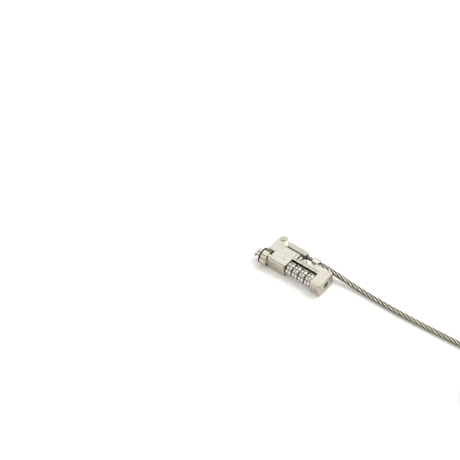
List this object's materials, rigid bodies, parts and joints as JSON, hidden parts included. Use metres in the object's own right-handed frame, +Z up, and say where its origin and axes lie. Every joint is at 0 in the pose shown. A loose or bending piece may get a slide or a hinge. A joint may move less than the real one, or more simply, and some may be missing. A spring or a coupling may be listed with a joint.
{
  "type": "laptop cable lock",
  "caption": "Slim combination cable lock with a row of number dials, a turning collar with spreading hooks, a swinging link arm and a steel cable tied in a hank that ends in an eye.",
  "frame": {"origin": "under the middle of the lock's box without its cable, on the surface it lies on", "axes": "+X from the hooks towards the cable end, +Y from the dials towards the ear, +Z up"},
  "size_m": [0.2339, 0.0365, 0.0203],
  "materials": {
    "satin_nickel": "satin nickel plate on a zinc casting, fine brushed grain, roughness 0.32",
    "cover_nickel": "satin nickel plate, fine grain along the lock, roughness 0.3",
    "polished_nickel": "polished nickel plate, roughness 0.12",
    "dial_nickel": "bright nickel number pads with darkened grooves, roughness 0.2",
    "black_rubber": "moulded black rubber, roughness 0.75",
    "black_enamel": "black enamel, roughness 0.4",
    "dark_steel": "blackened steel, roughness 0.4",
    "spring_steel": "bare spring steel, roughness 0.35",
    "hook_steel": "ground hardened steel, roughness 0.25",
    "black_nylon": "black woven nylon hook-and-loop strap, roughness 0.85",
    "sleeve_brass": "machined brass, roughness 0.3",
    "cable_steel": "bare galvanised wire rope, six strands, roughness 0.35"
  },
  "bodies": {
    "lock_body": {"housing": "satin_nickel", "cover_plate": "cover_nickel", "base_cover": "satin_nickel", "base_screws": "dark_steel", "nose_carrier": "satin_nickel", "face_plate": "satin_nickel", "gasket": "black_rubber", "side_pin": "dark_steel", "index_pins": "black_enamel", "pivot_rivet": "satin_nickel", "detent_spring": "spring_steel", "sleeve_spring": "spring_steel"},
    "collar": {"collar": "polished_nickel", "drive_pin": "dark_steel"},
    "hook_far": {"hook_far": "hook_steel"},
    "hook_near": {"hook_near": "hook_steel"},
    "bolt": {"spreader": "hook_steel", "spindle_yoke": "spring_steel", "code_spindle": "spring_steel"},
    "reset_screw": {"reset_screw": "dark_steel"},
    "pusher": {"sleeve_pusher": "sleeve_brass"},
    "arm": {"link_arm": "polished_nickel", "arm_keeper": "satin_nickel", "cable_run": "cable_steel", "cable_hank": "cable_steel", "cable_tie": "black_nylon", "cable_tail": "cable_steel", "cable_eye": "cable_steel", "eye_ferrule": "satin_nickel"},
    "swivel": {"swivel_pin": "dark_steel", "cable_ferrule": "polished_nickel"},
    "dial_1": {"number_dial_1": "dial_nickel"},
    "sleeve_1": {"code_sleeve_1": "sleeve_brass"},
    "dial_2": {"number_dial_2": "dial_nickel"},
    "sleeve_2": {"code_sleeve_2": "sleeve_brass"},
    "dial_3": {"number_dial_3": "dial_nickel"},
    "sleeve_3": {"code_sleeve_3": "sleeve_brass"},
    "dial_4": {"number_dial_4": "dial_nickel"},
    "sleeve_4": {"code_sleeve_4": "sleeve_brass"}
  },
  "joints": [
    {"name": "collar_turn", "type": "hinge", "parent": "lock_body", "child": "collar", "pos_m": [-0.01645, -0.00625, 0.0051], "axis": [1, 0, 0], "range_deg": [0, 90]},
    {"name": "bolt_slide", "type": "slide", "parent": "lock_body", "child": "bolt", "axis": [-1, 0, 0], "range_m": [0, 0.0022]},
    {"name": "hook_far_slide", "type": "slide", "parent": "lock_body", "child": "hook_far", "axis": [0, 1, 0], "range_m": [0, 0.0006]},
    {"name": "hook_near_slide", "type": "slide", "parent": "lock_body", "child": "hook_near", "axis": [0, -1, 0], "range_m": [0, 0.0006]},
    {"name": "dial_1_spin", "type": "hinge", "parent": "lock_body", "child": "dial_1", "pos_m": [0.00133, -0.00465, 0.0051], "axis": [1, 0, 0], "continuous": true},
    {"name": "dial_2_spin", "type": "hinge", "parent": "lock_body", "child": "dial_2", "pos_m": [0.00598, -0.00465, 0.0051], "axis": [1, 0, 0], "continuous": true},
    {"name": "dial_3_spin", "type": "hinge", "parent": "lock_body", "child": "dial_3", "pos_m": [0.01063, -0.00465, 0.0051], "axis": [1, 0, 0], "continuous": true},
    {"name": "dial_4_spin", "type": "hinge", "parent": "lock_body", "child": "dial_4", "pos_m": [0.01528, -0.00465, 0.0051], "axis": [1, 0, 0], "continuous": true},
    {"name": "reset_turn", "type": "hinge", "parent": "lock_body", "child": "reset_screw", "pos_m": [0.02385, -0.0021, 0.0051], "axis": [1, 0, 0], "range_deg": [0, 90]},
    {"name": "pusher_slide", "type": "slide", "parent": "lock_body", "child": "pusher", "axis": [-1, 0, 0], "range_m": [0, 0.0008]},
    {"name": "sleeve_1_shift", "type": "slide", "parent": "dial_1", "child": "sleeve_1", "axis": [-1, 0, 0], "range_m": [0, 0.0008]},
    {"name": "sleeve_2_shift", "type": "slide", "parent": "dial_2", "child": "sleeve_2", "axis": [-1, 0, 0], "range_m": [0, 0.0008]},
    {"name": "sleeve_3_shift", "type": "slide", "parent": "dial_3", "child": "sleeve_3", "axis": [-1, 0, 0], "range_m": [0, 0.0008]},
    {"name": "sleeve_4_shift", "type": "slide", "parent": "dial_4", "child": "sleeve_4", "axis": [-1, 0, 0], "range_m": [0, 0.0008]},
    {"name": "arm_swing", "type": "hinge", "parent": "lock_body", "child": "arm", "pos_m": [-0.0156, 0.00845, 0.0051], "axis": [0, 0, 1], "range_deg": [0, 180]},
    {"name": "swivel_spin", "type": "hinge", "parent": "arm", "child": "swivel", "pos_m": [0.00435, 0.00845, 0.0051], "axis": [1, 0, 0], "continuous": true}
  ],
  "couplings": [
    {"joint": "collar_turn", "follows": "bolt_slide", "rad_per_m": 714},
    {"joint": "hook_far_slide", "follows": "bolt_slide", "ratio": 0.27273},
    {"joint": "hook_near_slide", "follows": "bolt_slide", "ratio": 0.27273},
    {"joint": "reset_turn", "follows": "pusher_slide", "rad_per_m": 1963.5},
    {"joint": "sleeve_1_shift", "follows": "pusher_slide", "ratio": 1},
    {"joint": "sleeve_2_shift", "follows": "pusher_slide", "ratio": 1},
    {"joint": "sleeve_3_shift", "follows": "pusher_slide", "ratio": 1},
    {"joint": "sleeve_4_shift", "follows": "pusher_slide", "ratio": 1}
  ]
}
